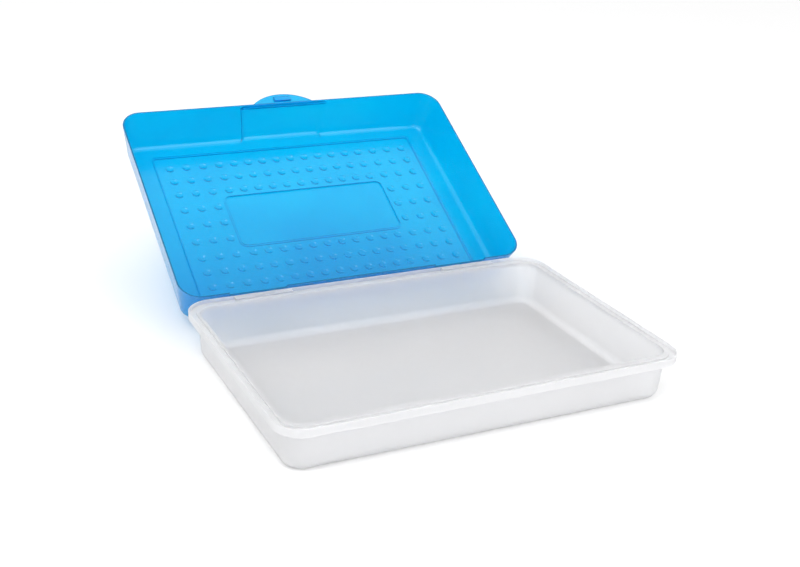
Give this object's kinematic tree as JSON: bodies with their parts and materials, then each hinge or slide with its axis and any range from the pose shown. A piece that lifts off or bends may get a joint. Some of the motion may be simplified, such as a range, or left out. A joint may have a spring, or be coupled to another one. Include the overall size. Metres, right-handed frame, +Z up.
{
  "type": "pencil case",
  "caption": "Rigid hinged-lid pencil case: a frosted clear tray and a translucent blue lid, shown open, for pens, pencils and desk tools.",
  "frame": {"origin": "centre of the tray's underside, on the surface the box stands on", "axes": "+Z up out of the tray, +Y from the front edge with the catch to the hinge, +X along the hinge to the right as seen from the front"},
  "size_m": [0.33, 0.4485, 0.1503],
  "materials": {
    "clear_plastic": "frosted natural polypropylene, satin",
    "blue_plastic": "translucent blue polypropylene, semi-gloss"
  },
  "bodies": {
    "tray": {"tray": "clear_plastic"},
    "lid": {"lid": "blue_plastic"}
  },
  "joints": [
    {"name": "lid_hinge", "type": "hinge", "parent": "tray", "child": "lid", "pos_m": [0, 0.1171, 0.0365], "axis": [1, 0, 0], "range_deg": [0, 151.3]}
  ]
}
